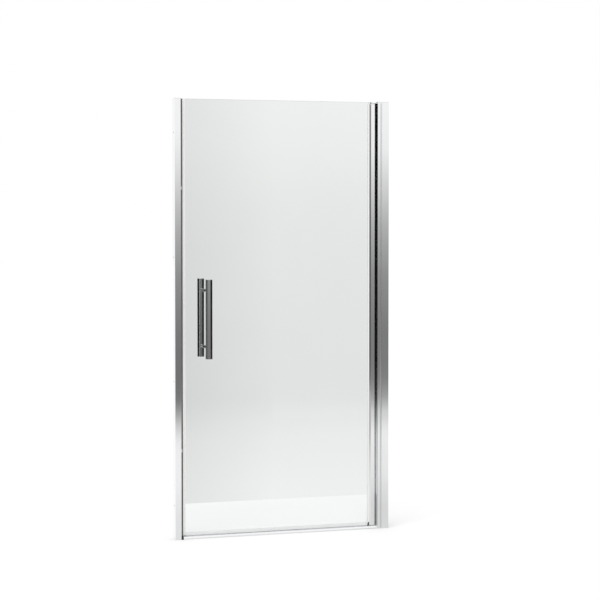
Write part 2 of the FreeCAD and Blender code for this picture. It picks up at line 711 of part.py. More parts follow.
def glazing_gasket():
    web_x = GLASS_RIGHT + GASKET_SKIN
    tip = GLASS_HALF + GASKET_TIP
    return upright(flat_face([
        (GASKET_X, GLASS_HALF), (GASKET_X, tip), (JAW_X, JAW_HALF), (JAW_X, POCKET_HALF),
        (web_x, POCKET_HALF), (web_x, -POCKET_HALF), (JAW_X, -POCKET_HALF), (JAW_X, -JAW_HALF),
        (GASKET_X, -tip), (GASKET_X, -GLASS_HALF), (GLASS_RIGHT, -GLASS_HALF),
        (GLASS_RIGHT, GLASS_HALF)]), GASKET_BOTTOM, STILE_TOP)


def glass_panel():
    """The pane, bevelled all round. Its top corner is notched round the pivot arm."""
    notch_x = JAW_X - NOTCH_CLEARANCE
    notch_z = STILE_TOP - NOTCH_DROP
    pane = crosswise(flat_face([
        (GLASS_LEFT, GLASS_BOTTOM), (GLASS_RIGHT, GLASS_BOTTOM), (GLASS_RIGHT, notch_z),
        (notch_x, notch_z), (notch_x, GLASS_TOP), (GLASS_LEFT, GLASS_TOP)]), -GLASS_HALF, GLASS_HALF)
    rims = [edge for edge in pane.Edges if edge.BoundBox.YLength < GLASS_HALF]
    pane = pane.makeChamfer(GLASS_ARRIS, rims)
    holes = [rod(GLASS_HOLE_RADIUS, point(HANDLE_X, -GLASS_HALF, z), point(0, 1, 0), GLASS_THICK)
             for z in HANDLE_POST_HEIGHTS]
    return cut_all(pane, holes)


def edge_seal():
    """A clip over the glass edge, hollow in front of it, with two lips that hold the magnet strip."""
    outer = LEAF_MAGNET_HALF + SEAL_LIP_WALL
    grip = GLASS_HALF + SEAL_LEG
    section = flat_face([
        (SEAL_X - SEAL_LIP, outer), (SEAL_X - SEAL_LIP, LEAF_MAGNET_HALF), (SEAL_X, LEAF_MAGNET_HALF),
        (SEAL_X, -LEAF_MAGNET_HALF), (SEAL_X - SEAL_LIP, -LEAF_MAGNET_HALF), (SEAL_X - SEAL_LIP, -outer),
        (GLASS_LEFT, -outer, SEAL_ROUND), (GLASS_LEFT, -grip), (GLASS_LEFT + SEAL_GRIP, -grip),
        (GLASS_LEFT + SEAL_GRIP, -GLASS_HALF), (GLASS_LEFT, -GLASS_HALF), (GLASS_LEFT, GLASS_HALF),
        (GLASS_LEFT + SEAL_GRIP, GLASS_HALF), (GLASS_LEFT + SEAL_GRIP, grip), (GLASS_LEFT, grip),
        (GLASS_LEFT, outer, SEAL_ROUND)])
    room_half = LEAF_MAGNET_HALF - SEAL_WALL
    room = block(SEAL_X + SEAL_WALL, GLASS_LEFT - SEAL_WALL, -room_half, room_half, GLASS_BOTTOM, GLASS_TOP)
    return upright(section, GLASS_BOTTOM, GLASS_TOP).cut(room)


def leaf_magnet_strip():
    return block(LEAF_MAGNET_X, SEAL_X, -LEAF_MAGNET_HALF, LEAF_MAGNET_HALF, GLASS_BOTTOM, GLASS_TOP)


def drip_seal():
    """A clip under the glass, with a middle fin and a slanted blade that sheds water inwards."""
    outer = GLASS_HALF + DRIP_WALL
    web = GLASS_BOTTOM - DRIP_WEB
    low = SILL_HEIGHT + DRIP_RUN_GAP
    clip = flat_face([
        (-outer, web), (outer, web), (outer, GLASS_BOTTOM + DRIP_LEG), (GLASS_HALF, GLASS_BOTTOM + DRIP_LEG),
        (GLASS_HALF, GLASS_BOTTOM), (-GLASS_HALF, GLASS_BOTTOM),
        (-GLASS_HALF, GLASS_BOTTOM + DRIP_LEG), (-outer, GLASS_BOTTOM + DRIP_LEG)])
    fin = flat_face([
        (-DRIP_FIN_HALF, low), (DRIP_FIN_HALF, low), (DRIP_FIN_HALF, web), (-DRIP_FIN_HALF, web)])
    blade = flat_face([
        (outer, web), (outer + DRIP_BLADE_OUT, low), (outer + DRIP_BLADE_OUT, low + DRIP_BLADE_WALL),
        (outer, web + DRIP_WEB)])
    x0 = GLASS_LEFT + SEAL_GRIP + DRIP_END_GAP
    x1 = JAW_X - TOE_REACH - DRIP_END_GAP
    return fused([lengthwise(part, x0, x1) for part in (clip, fin, blade)])


# Handle. Each piece is made for the outer side and mirrored for the inner one.

def handle_bar():
    start = point(HANDLE_X, -HANDLE_STANDOFF, HANDLE_HEIGHT - HANDLE_LENGTH / 2)
    return ring(BAR_RADIUS, BAR_RADIUS - BAR_WALL, start, point(0, 0, 1), HANDLE_LENGTH)


def handle_end_plugs():
    """The four plugs that close the ends of the two bars, flush with them."""
    radius = BAR_RADIUS - BAR_WALL - THREAD_CLEARANCE
    plugs = []
    for direction in (-1, 1):
        z = HANDLE_HEIGHT + direction * HANDLE_LENGTH / 2
        plugs.extend(both_sides(rod(radius, point(HANDLE_X, -HANDLE_STANDOFF, z),
                                    point(0, 0, -direction), BAR_PLUG)))
    return plugs


def handle_post(z):
    """A post from the glass to the bar, saddled to the bar's round and bored for the stud."""
    foot = point(HANDLE_X, -HANDLE_SEAT, z)
    shaft = rod(HANDLE_POST_RADIUS, foot, point(0, -1, 0), HANDLE_STANDOFF - HANDLE_SEAT)
    bore = rod(STUD_RADIUS + THREAD_CLEARANCE, foot, point(0, -1, 0), STUD_INTO_POST + STUD_END_GAP)
    room = rod(BAR_RADIUS, point(HANDLE_X, -HANDLE_STANDOFF, z - BAR_RADIUS), point(0, 0, 1), 2 * BAR_RADIUS)
    return shaft.cut(room).cut(bore)


def handle_posts():
    return [handle_post(z) for z in HANDLE_POST_HEIGHTS]


def handle_studs():
    reach = HANDLE_SEAT + STUD_INTO_POST
    return [rod(STUD_RADIUS, point(HANDLE_X, -reach, z), point(0, 1, 0), 2 * reach)
            for z in HANDLE_POST_HEIGHTS]


def glass_hole_sleeves():
    """Soft sleeves in the glass holes, which also stand between the glass and the posts."""
    return [ring(GLASS_HOLE_RADIUS - SLEEVE_FIT, STUD_RADIUS + SLEEVE_FIT,
                 point(HANDLE_X, -HANDLE_SEAT, z), point(0, 1, 0), 2 * HANDLE_SEAT)
            for z in HANDLE_POST_HEIGHTS]


# Every node of the assembly. A list is a group of separate, alike solids.

def all_nodes():
    bar = handle_bar()
    posts = handle_posts()
    return {
        "strike_wall_channel": strike_channel(),
        "hinge_wall_channel": hinge_channel(),
        "strike_jamb": strike_jamb(),
        "hinge_post": hinge_post(),
        "strike_jamb_screws": strike_jamb_screws(),
        "screw_cover_caps": screw_cover_caps(),
        "hinge_post_screws": hinge_post_screws(),
        "strike_magnet_carrier": strike_magnet_carrier(),
        "strike_magnet": strike_magnet(),
        "strike_top_cap": strike_top_cap(),
        "hinge_top_cap": hinge_top_cap(),
        "wiper_gasket": wiper_gasket(),
        "threshold_sill": threshold_sill(),
        "sill_end_block": sill_end_block(),
        "top_pivot_arm": top_pivot_arm(),
        "bottom_pivot_block": bottom_pivot_block(),
        "pivot_pins": pivot_pins(),
        "pivot_bracket_screws": pivot_bracket_screws(),
        "glass_panel": glass_panel(),
        "pivot_stile": pivot_stile(),
        "stile_end_plugs": stile_end_plugs(),
        "pivot_bushes": pivot_bushes(),
        "glass_corner_support": glass_corner_support(),
        "glazing_gasket": glazing_gasket(),
        "edge_seal": edge_seal(),
        "leaf_magnet_strip": leaf_magnet_strip(),
        "drip_seal": drip_seal(),
        "outer_handle_bar": bar,
        "inner_handle_bar": mirrored(bar),
        "handle_end_plugs": handle_end_plugs(),
        "outer_handle_posts": posts,
        "inner_handle_posts": [mirrored(post) for post in posts],
        "handle_studs": handle_studs(),
        "glass_hole_sleeves": glass_hole_sleeves(),
    }


def main():
    os.makedirs("parts", exist_ok=True)
    for name, made in all_nodes().items():
        shape = Part.makeCompound(made) if isinstance(made, list) else made
        shape.exportStep("parts/" + name + ".step")
        print(name, "solids", len(shape.Solids), "valid", shape.isValid(), "volume", round(shape.Volume))


main()
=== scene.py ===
"""Pivot shower door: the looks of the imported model.

Everything is in metres, in the model's own frame: X to the right as seen from outside,
Y into the shower and Z up from the tray. The door stands in the plane Y = 0.
"""
import json
import math

import bmesh
import bpy
from mathutils import Matrix, Vector

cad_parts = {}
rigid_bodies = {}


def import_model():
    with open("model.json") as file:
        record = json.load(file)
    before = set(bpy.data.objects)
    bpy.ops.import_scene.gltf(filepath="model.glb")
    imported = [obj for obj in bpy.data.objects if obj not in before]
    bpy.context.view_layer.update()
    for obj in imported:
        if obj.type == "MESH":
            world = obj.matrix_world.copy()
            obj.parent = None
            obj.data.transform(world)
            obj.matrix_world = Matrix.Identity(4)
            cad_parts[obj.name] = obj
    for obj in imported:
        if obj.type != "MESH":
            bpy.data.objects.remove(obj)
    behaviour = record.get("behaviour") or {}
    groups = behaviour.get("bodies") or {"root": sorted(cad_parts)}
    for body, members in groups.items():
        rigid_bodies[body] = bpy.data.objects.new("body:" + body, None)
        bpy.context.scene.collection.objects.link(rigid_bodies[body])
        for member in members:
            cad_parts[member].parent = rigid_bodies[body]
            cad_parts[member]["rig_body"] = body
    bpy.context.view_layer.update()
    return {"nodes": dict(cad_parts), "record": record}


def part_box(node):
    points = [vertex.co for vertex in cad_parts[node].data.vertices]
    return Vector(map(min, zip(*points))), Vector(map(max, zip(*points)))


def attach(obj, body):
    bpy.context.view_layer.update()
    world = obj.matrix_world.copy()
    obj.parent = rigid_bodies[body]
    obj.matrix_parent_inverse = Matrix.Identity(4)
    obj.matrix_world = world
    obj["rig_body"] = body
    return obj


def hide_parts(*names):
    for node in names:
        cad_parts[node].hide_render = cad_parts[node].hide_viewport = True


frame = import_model()
NODES = frame["nodes"]

MM = 0.001
TINY = 1e-6

# Camera, fitted to the photograph
CAMERA_PLACE = (-2.2786, -7.4997, 1.4579)
CAMERA_YAW = 17.483           # degrees to the right of the +Y axis
CAMERA_PITCH = 1.77           # degrees below the horizon
CAMERA_LENS = 104.678
CAMERA_SENSOR = 36.0
CAMERA_SHIFT = -0.06

# Floor, surrounding light and key light
FLOOR_HALF = 40.0
FLOOR_COLOUR = (0.76, 0.76, 0.76, 1.0)
FLOOR_FILL = 0.20             # light that the floor gives to the eye and to mirrors only
WORLD_FILL = 0.85             # strength of the surrounding light on matt surfaces
WORLD_WHITE = 1.0             # its strength to the eye and in mirrors
KEY_TILT = (32.0, 0.0, -38.0)  # degrees, from straight down
KEY_ANGLE = 35.0              # apparent size, which makes its shadow soft
KEY_POWER = 0.9
EYE_AND_MIRRORS = ("Is Camera Ray", "Is Glossy Ray", "Is Transmission Ray")
MET_LIMIT = 0.5               # a ray's depth above this means that it has met such a surface

# Cards that only mirrors see. Each runs between two plan points and stands on the floor.
CARD_HEIGHT = 3.6
CARD_FRONT_Y = -4.2
CARD_BACK_Y = 3.1
CARD_LEFT_X = -4.6
CARD_SEAM_X = 1.2             # between the two bright front cards, which differ at the foot
CARD_RIGHT_X = 2.7            # where the bright front cards end and the dark flag starts
CARD_TURN_Y = -3.0            # where the dim left card meets the brighter one beside it
CARD_LEFT_END_Y = -1.0        # where the left cards end and the dark flag starts
FLAG_RIGHT_X = 3.85           # the right wall
FLAG_BACK_LEFT_X = -1.0       # left end of the dark flag in the middle of the back
FLAG_BACK_RIGHT_X = -0.2      # its right end, where the inner card starts
CORNER_END_X = -1.6           # right end of the dark flag in the back left corner

# Brightness of the cards, as (height, brightness) pairs
LEVEL_LIMIT = 1.5             # the most that a level can be
FRONT_LEVELS = (
    (0.0, 0.55), (0.07, 0.36), (0.147, 0.19), (0.28, 0.18), (0.42, 0.185), (0.6, 0.20), (1.0, 0.29),
    (1.35, 0.46), (1.9, 0.91), (2.07, 0.96), (2.3, 0.98),
)
RIGHT_LEVELS = (
    (0.0, 0.78), (0.05, 0.60), (0.117, 0.37), (0.255, 0.225), (0.4, 0.21), (0.6, 0.21), (1.0, 0.29),
    (1.35, 0.46), (1.9, 0.91), (2.3, 0.98),
)
LEFT_LEVELS = ((0.0, 0.24), (0.15, 0.14), (0.3, 0.10), (1.2, 0.12), (1.9, 0.22), (2.4, 0.30))
NEAR_LEVELS = ((0.0, 0.30), (0.3, 0.22), (1.2, 0.24), (1.9, 0.40), (2.4, 0.50))
FLAG_LEVELS = ((0.0, 0.75), (0.12, 0.50), (0.3, 0.05), (0.5, 0.004))
INNER_LEVELS = ((0.0, 0.55), (0.5, 0.30), (1.2, 0.28), (1.9, 0.62), (2.5, 0.92))
SIDE_LEVELS = ((0.0, 0.60), (0.4, 0.08), (1.2, 0.04), (1.9, 0.35), (2.5, 0.85))
BACK_LEVELS = ((0.0, 0.42), (0.16, 0.26), (0.3, 0.065), (0.43, 0.023), (0.6, 0.013), (0.9, 0.005))

# The floor as mirrors see it. Before the door, its brightness is that across times that along.
MAT_LIFT = 0.0003             # above the floor
MAT_GAP = 0.024               # from the plane of the door
MAT_ACROSS = ((-2.4, 0.50), (-0.5, 1.0), (0.1, 1.0), (0.65, 0.87), (1.2, 0.93), (1.8, 1.0))
MAT_ALONG = ((-4.2, 0.66), (-3.2, 0.93), (-1.5, 0.93), (-0.6, 0.82), (-0.02, 0.80))
MAT_BEHIND = ((0.0, 0.45), (0.8, 0.53), (3.1, 0.47))
MAT_DOOR_LEFT_X = -0.4        # the ends of the mat behind the door, at the door and at the back
MAT_DOOR_RIGHT_X = 0.6
MAT_BACK_RIGHT_X = 0.0
MAT_BACK_LEFT_X = -1.0

# A glowing card behind the glass, which shows only through clear pieces. Its tone, painted light and shade
# that is that across times that up, is for the eye. Its painted shade is for mirrors.
TONE_Y = 0.9
TONE_LEFT_X = -1.0
TONE_RIGHT_X = 1.6
TONE_HEIGHT = 2.8
TONE_ACROSS = ((-1.0, 1.0), (-0.24, 0.778), (0.23, 0.89), (0.73, 0.89), (1.6, 1.0))
TONE_UP = ((0.0, 1.05), (0.28, 0.995), (0.5, 0.958), (1.0, 0.975), (1.5, 0.98), (1.97, 1.02), (2.8, 1.06))
SHADE_UP = ((0.0, 0.95), (0.3, 0.85), (0.4, 0.40), (0.5, 0.06), (0.7, 0.012), (2.8, 0.0))

# Rounding of the CAD nodes' edges
ROUND_ABOVE = 30.0            # degrees between two faces whose edge is rounded
FLAT_WITHIN = 0.5             # degrees within which faces are joined first
ROUND_STEPS = 2
PROFILE_EDGE = 0.25 * MM
BRACKET_EDGE = 0.4 * MM
TOP_CAP_EDGE = 0.5 * MM
BLOCK_EDGE = 0.5 * MM
STILE_PLUG_EDGE = 0.3 * MM
SUPPORT_EDGE = 0.4 * MM
FACE_WEIGHT = 100             # of 100, so that large faces set the shading of narrow ones beside them

# The hinge post's groove, whose floor gets painted shade: a face that looks outwards, at a depth between
# these two
GROOVE_LEAST = 1.0 * MM
GROOVE_MOST = 2.0 * MM
GROOVE_FACING = 0.9

# Turned pieces
SHARP_ABOVE = 35.0            # degrees between two faces whose edge stays sharp
ARC_STEPS = 6
CAP_SEGMENTS = 48
CAP_STEPS = 12
CAP_LIP = 0.8 * MM            # height of the cover cap's rim, under its dome
BAR_SEGMENTS = 96
BAR_WALL = 1.5 * MM
RIM_ROUND = 0.6 * MM
RIM_KEEP = 0.5 * MM           # past a rounded edge, where a ring keeps the shading of the rest straight
PLUG_SINK = 0.25 * MM
PLUG_BEVEL = 0.7 * MM
PLUG_DEPTH = 5.0 * MM
POST_SEGMENTS = 64
POST_BEVEL = 0.4 * MM

# Materials
NOISE_LOW = 0.3               # most of a noise texture's values lie between these two
NOISE_HIGH = 0.7
EVEN = (1.0, 1.0, 1.0)
ALONG_Z = (1.0, 1.0, 0.004)
ALONG_X = (0.004, 1.0, 1.0)
GLASS_EDGE = (0.42, 0.66, 0.56, 1.0)
GREEN_UNTIL = 0.3             # share of a normal that lies across the pane: up to here all green,
CLEAR_FROM = 0.9              # and from here on none
MIX_FIRST_COLOUR = 6          # sockets of the Mix node in its colour mode
MIX_SECOND_COLOUR = 7
MIX_COLOUR_RESULT = 2


# Meshes

def linked(name, mesh):
    made = bpy.data.objects.new(name, mesh)
    bpy.context.scene.collection.objects.link(made)
    return made


def mesh_from(name, work):
    """Turns a bmesh into a smooth-shaded mesh, whose sharper edges stay sharp."""
    mesh = bpy.data.meshes.new(name)
    bmesh.ops.recalc_face_normals(work, faces=work.faces)
    work.to_mesh(mesh)
    work.free()
    if "custom_normal" in mesh.attributes:
        mesh.attributes.remove(mesh.attributes["custom_normal"])
    mesh.shade_smooth()
    mesh.set_sharp_from_angle(angle=math.radians(SHARP_ABOVE))
    return mesh


def turn_to(position, direction):
    """The matrix that takes +Z to a direction and the origin to a position."""
    turn = Vector((0, 0, 1)).rotation_difference(Vector(direction)).to_matrix().to_4x4()
    return Matrix.Translation(position) @ turn


def polar(radius, degrees):
    angle = math.radians(degrees)
    return radius * math.cos(angle), radius * math.sin(angle)


def add_lathe(work, profile, matrix, segments=BAR_SEGMENTS):
    """Adds a turned form. The profile is (radius, height) pairs; a zero radius is a pole."""
    rings = []
    for radius, height in profile:
        if radius < TINY:
            rings.append([work.verts.new(matrix @ Vector((0, 0, height)))])
            continue
        turns = [polar(radius, 360.0 * index / segments) for index in range(segments)]
        rings.append([work.verts.new(matrix @ Vector((*place, height))) for place in turns])
    for low, high in zip(rings, rings[1:]):
        for index in range(segments):
            following = (index + 1) % segments
            if len(low) == 1 and len(high) == 1:
                break
            if len(low) == 1:
                work.faces.new((low[0], high[following], high[index]))
            elif len(high) == 1:
                work.faces.new((low[index], low[following], high[0]))
            else:
                work.faces.new((low[index], low[following], high[following], high[index]))


def arc(centre, radius, start, end):
    """Points on an arc in the (radius, height) plane, between two angles in degrees."""
    points = []
    for index in range(ARC_STEPS + 1):
        across, up = polar(radius, start + (end - start) * index / ARC_STEPS)
        points.append((centre[0] + across, centre[1] + up))
    return points


def ride_as(piece, body, slot, *replaced):
    """Fixes a piece to a body and hides the CAD nodes that it stands for."""
    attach(piece, body)
    if replaced:
        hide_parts(*replaced)
    return piece


def softened(node, slot, width):
    """A copy of a CAD node with its sharp edges rounded, which stands in its place."""
    work = bmesh.new()
    work.from_mesh(NODES[node].data)
    bmesh.ops.remove_doubles(work, verts=work.verts, dist=TINY)
    bmesh.ops.dissolve_limit(work, angle_limit=math.radians(FLAT_WITHIN), verts=work.verts, edges=work.edges)
    limit = math.radians(ROUND_ABOVE)
    sharp = [edge for edge in work.edges if len(edge.link_faces) == 2 and edge.calc_face_angle() > limit]
    bmesh.ops.bevel(work, geom=sharp, offset=width, segments=ROUND_STEPS, affect="EDGES",
                    profile=0.5, clamp_overlap=True)
    piece = linked(node + "_rounded", mesh_from(node + "_rounded", work))
    flat = piece.modifiers.new("flat_faces_stay_flat", "WEIGHTED_NORMAL")
    flat.mode = "FACE_AREA"
    flat.weight = FACE_WEIGHT
    flat.keep_sharp = True
    return ride_as(piece, NODES[node]["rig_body"], slot, node)


# Materials

class Recipe:
    """A material with the nodes that its surface needs."""

    def __init__(self, name, **sockets):
        self.material = bpy.data.materials.new(name)
        self.material.use_nodes = True
        self.tree = self.material.node_tree
        self.shader = self.tree.nodes["Principled BSDF"]
        for socket, value in sockets.items():
            self.shader.inputs[socket.replace("_", " ")].default_value = value

    def add(self, kind, **settings):
        node = self.tree.nodes.new(kind)
        for name, value in settings.items():
            setattr(node, name, value)
        return node

    def link(self, source, target):
        self.tree.links.new(source, target)

    def place(self, stretch):
        """Object coordinates, stretched by three scales."""
        coordinates = self.add("ShaderNodeTexCoord")
        mapping = self.add("ShaderNodeMapping")
        mapping.inputs["Scale"].default_value = stretch
        self.link(coordinates.outputs["Object"], mapping.inputs["Vector"])
        return mapping.outputs["Vector"]

    def noise(self, stretch, scale, detail, roughness=0.5):
        texture = self.add("ShaderNodeTexNoise")
        texture.inputs["Scale"].default_value = scale
        texture.inputs["Detail"].default_value = detail
        texture.inputs["Roughness"].default_value = roughness
        self.link(self.place(stretch), texture.inputs["Vector"])
        return texture.outputs["Fac"]

    def spread(self, source, low, high, start=NOISE_LOW, end=NOISE_HIGH):
        """Maps a texture's value to a range."""
        node = self.add("ShaderNodeMapRange")
        node.inputs["From Min"].default_value = start
        node.inputs["From Max"].default_value = end
        node.inputs["To Min"].default_value = low
        node.inputs["To Max"].default_value = high
        self.link(source, node.inputs["Value"])
        return node.outputs["Result"]

    def blend(self, factor, first, second):
        """A colour between two, by a texture's value."""
        ramp = self.add("ShaderNodeValToRGB")
        ramp.color_ramp.elements[0].position = NOISE_LOW
        ramp.color_ramp.elements[0].color = (*first, 1.0)
        ramp.color_ramp.elements[1].position = NOISE_HIGH
        ramp.color_ramp.elements[1].color = (*second, 1.0)
        self.link(factor, ramp.inputs["Fac"])
        return ramp.outputs["Color"]

    def colour(self, source):
        self.link(source, self.shader.inputs["Base Color"])

    def roughness(self, source):
        self.link(source, self.shader.inputs["Roughness"])

    def bump(self, source, strength, distance):
        node = self.add("ShaderNodeBump")
        node.inputs["Strength"].default_value = strength
        node.inputs["Distance"].default_value = distance
        self.link(source, node.inputs["Height"])
        self.link(node.outputs["Normal"], self.shader.inputs["Normal"])


def extruded_metal(name, lines):
    """Bright anodised profile: mirror bright, with very fine die lines along its length."""
    recipe = Recipe(name, Metallic=1.0)
    fine = recipe.noise(lines, scale=1500.0, detail=2.0)
    cloud = recipe.noise(EVEN, scale=6.0, detail=4.0)
    recipe.colour(recipe.blend(cloud, (0.905, 0.910, 0.918), (0.93, 0.935, 0.942)))
    recipe.roughness(recipe.spread(fine, low=0.045, high=0.085))
    recipe.bump(fine, strength=0.05, distance=0.02 * MM)
    return recipe.material


def polished_chrome():
    """Polished chrome with a faint bloom of handling marks."""
    recipe = Recipe("polished_chrome", Metallic=1.0)
    cloud = recipe.noise(EVEN, scale=22.0, detail=5.0, roughness=0.62)
    recipe.colour(recipe.blend(cloud, (0.88, 0.885, 0.895), (0.91, 0.915, 0.922)))
    recipe.roughness(recipe.spread(cloud, low=0.02, high=0.06))
    recipe.bump(recipe.noise(EVEN, scale=350.0, detail=2.0), strength=0.02, distance=0.02 * MM)
    return recipe.material


def plated_plastic():
    """Chrome plated moulding, with the slight ripple of its moulded skin."""
    recipe = Recipe("plated_plastic", Metallic=1.0)
    ripple = recipe.noise(EVEN, scale=240.0, detail=2.0)
    recipe.colour(recipe.blend(ripple, (0.88, 0.885, 0.89), (0.93, 0.93, 0.935)))
    recipe.roughness(recipe.spread(ripple, low=0.05, high=0.11))
    recipe.bump(ripple, strength=0.12, distance=0.05 * MM)
    return recipe.material


def clear_glass():
    """Toughened clear glass: hardly tinted through its faces and green along its polished edges."""
    recipe = Recipe("clear_glass", IOR=1.5)
    recipe.shader.inputs["Transmission Weight"].default_value = 1.0
    film = recipe.noise(EVEN, scale=3.0, detail=4.0)
    faces = recipe.blend(film, (0.925, 0.945, 0.935), (0.94, 0.955, 0.945))
    split = recipe.add("ShaderNodeSeparateXYZ")
    recipe.link(recipe.add("ShaderNodeTexCoord").outputs["Normal"], split.inputs["Vector"])
    across = recipe.add("ShaderNodeMath", operation="ABSOLUTE")
    recipe.link(split.outputs["Y"], across.inputs["Value"])
    mix = recipe.add("ShaderNodeMix", data_type="RGBA")
    share = recipe.spread(across.outputs["Value"], low=0.0, high=1.0, start=GREEN_UNTIL, end=CLEAR_FROM)
    recipe.link(share, mix.inputs["Factor"])
    mix.inputs[MIX_FIRST_COLOUR].default_value = GLASS_EDGE
    recipe.link(faces, mix.inputs[MIX_SECOND_COLOUR])
    recipe.colour(mix.outputs[MIX_COLOUR_RESULT])
    recipe.roughness(recipe.spread(film, low=0.0, high=0.004))
    return recipe.material


def clear_seal(name, index, clearness, low, high):
    """Clear soft extrusion with faint lines along its length."""
    recipe = Recipe(name, IOR=index)
    recipe.shader.inputs["Transmission Weight"].default_value = clearness
    lines = recipe.noise(ALONG_Z, scale=900.0, detail=2.0)
    recipe.colour(recipe.blend(lines, (0.93, 0.94, 0.94), (0.96, 0.97, 0.97)))
    recipe.roughness(recipe.spread(lines, low, high))
    recipe.bump(lines, strength=0.05, distance=0.03 * MM)
    return recipe.material


def dull_groove_with_painted_shade():
    """The floor of the profile's groove: rougher, as the polishing doesn't reach it, and darker with painted
    shade.
    """
    recipe = Recipe("dull_groove_with_painted_shade", Metallic=1.0)
    lines = recipe.noise(ALONG_Z, scale=1100.0, detail=3.0)
    # darker than the profile's metal: painted shade in the recess
    recipe.colour(recipe.blend(lines, (0.70, 0.705, 0.715), (0.80, 0.805, 0.81)))
    recipe.roughness(recipe.spread(lines, low=0.17, high=0.23))
    recipe.bump(lines, strength=0.15, distance=0.03 * MM)
    return recipe.material


def soft_plastic(name, dark, light, low, high, grain, depth):
    """A moulded or extruded plastic or rubber with a fine grain."""
    recipe = Recipe(name)
    speck = recipe.noise(EVEN, scale=grain, detail=4.0)
    recipe.colour(recipe.blend(speck, dark, light))
    recipe.roughness(recipe.spread(speck, low, high))
    recipe.bump(speck, strength=0.25, distance=depth)
    return recipe.material


def turned_steel():
    """Stainless steel with fine turning marks."""
    recipe = Recipe("turned_steel", Metallic=1.0)
    marks = recipe.noise(EVEN, scale=2600.0, detail=2.0)
    recipe.colour(recipe.blend(marks, (0.60, 0.60, 0.595), (0.70, 0.70, 0.69)))
    recipe.roughness(recipe.spread(marks, low=0.2, high=0.34))
    recipe.bump(marks, strength=0.1, distance=0.02 * MM)
    return recipe.material


ALUMINIUM = extruded_metal("bright_profile", ALONG_Z)
SILL_METAL = extruded_metal("bright_sill", ALONG_X)
CHROME = polished_chrome()
PLATED = plated_plastic()
GLASS = clear_glass()
CLEAR_SEAL = clear_seal("clear_seal", index=1.4, clearness=0.12, low=0.35, high=0.5)
CLEAR_SOFT = clear_seal("clear_soft", index=1.04, clearness=1.0, low=0.02, high=0.05)
PAINTED_SHADE_GROOVE = dull_groove_with_painted_shade()
STEEL = turned_steel()
RUBBER = soft_plastic("black_rubber", dark=(0.012, 0.012, 0.012), light=(0.025, 0.025, 0.025),
                      low=0.45, high=0.65, grain=1800.0, depth=0.03 * MM)
GREY_SEAL = soft_plastic("grey_seal", dark=(0.15, 0.15, 0.15), light=(0.22, 0.22, 0.22),
                         low=0.4, high=0.55, grain=1500.0, depth=0.02 * MM)
MAGNET = soft_plastic("magnet_strip", dark=(0.030, 0.028, 0.026), light=(0.055, 0.05, 0.047),
                      low=0.35, high=0.5, grain=2400.0, depth=0.02 * MM)
NYLON = soft_plastic("black_nylon", dark=(0.018, 0.018, 0.018), light=(0.035, 0.035, 0.035),
                     low=0.35, high=0.5, grain=900.0, depth=0.02 * MM)
ACETAL = soft_plastic("white_acetal", dark=(0.80, 0.80, 0.78), light=(0.88, 0.88, 0.86),
                      low=0.3, high=0.42, grain=700.0, depth=0.01 * MM)
GASKET = soft_plastic("white_gasket", dark=(0.88, 0.88, 0.875), light=(0.93, 0.93, 0.925),
                      low=0.35, high=0.5, grain=1200.0, depth=0.02 * MM)

FINISHES = {
    "bright_aluminium": ALUMINIUM,
    "chrome": CHROME,
    "plated_plastic": PLATED,
    "clear_glass": GLASS,
    "stainless": STEEL,
    "black_rubber": RUBBER,
    "grey_seal": GREY_SEAL,
    "magnet": MAGNET,
    "black_nylon": NYLON,
    "white_acetal": ACETAL,
    "white_gasket": GASKET,
    "clear_seal": CLEAR_SEAL,
}

# CAD nodes that are shown with their edges rounded: node, slot, material and width
ROUNDED = (
    ("strike_jamb", "bright_aluminium", ALUMINIUM, PROFILE_EDGE),
    ("hinge_post", "bright_aluminium", ALUMINIUM, PROFILE_EDGE),
    ("pivot_stile", "bright_aluminium", ALUMINIUM, PROFILE_EDGE),
    ("threshold_sill", "bright_aluminium", SILL_METAL, PROFILE_EDGE),
    ("top_pivot_arm", "chrome", CHROME, BRACKET_EDGE),
    ("bottom_pivot_block", "chrome", CHROME, BRACKET_EDGE),
    ("strike_top_cap", "plated_plastic", PLATED, TOP_CAP_EDGE),
    ("hinge_top_cap", "plated_plastic", PLATED, TOP_CAP_EDGE),
    ("sill_end_block", "black_rubber", RUBBER, BLOCK_EDGE),
    ("stile_end_plugs", "white_acetal", ACETAL, STILE_PLUG_EDGE),
    ("glass_corner_support", "black_nylon", NYLON, SUPPORT_EDGE),
)


def finish(piece, material):
    piece.data.materials.clear()
    piece.data.materials.append(material)
    return piece


def finish_cad_nodes():
    """Each CAD node gets the finish of its slot in the record, and three get a closer one.

    The pane, the wiper and the drip seal cast no shadow, and light reaches matt surfaces through the pane.
    """
    for part in frame["record"]["subparts"]:
        finish(NODES[part["node"]], FINISHES[part["material_slot"]])
    finish(NODES["threshold_sill"], SILL_METAL)
    finish(NODES["wiper_gasket"], CLEAR_SOFT)
    finish(NODES["glass_hole_sleeves"], CLEAR_SOFT)
    NODES["glass_panel"].visible_diffuse = False
    for node in ("glass_panel", "wiper_gasket", "drip_seal"):
        NODES[node].visible_shadow = False


# Door

def round_the_edges():
    """The profiles, brackets, caps and plugs, with their edges broken as on drawn and moulded parts."""
    for node, slot, material, width in ROUNDED:
        piece = finish(softened(node, slot, width), material)
        if node == "hinge_post":
            dull_and_shade_the_groove(piece)


def dull_and_shade_the_groove(post):
    post.data.materials.append(PAINTED_SHADE_GROOVE)
    groove_slot = len(post.data.materials) - 1
    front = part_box("hinge_post")[0].y
    for face in post.data.polygons:
        # the groove's floor gets the rough metal with painted shade
        recessed = GROOVE_LEAST < face.center.y - front < GROOVE_MOST
        if recessed and face.normal.y < -GROOVE_FACING:
            face.material_index = groove_slot


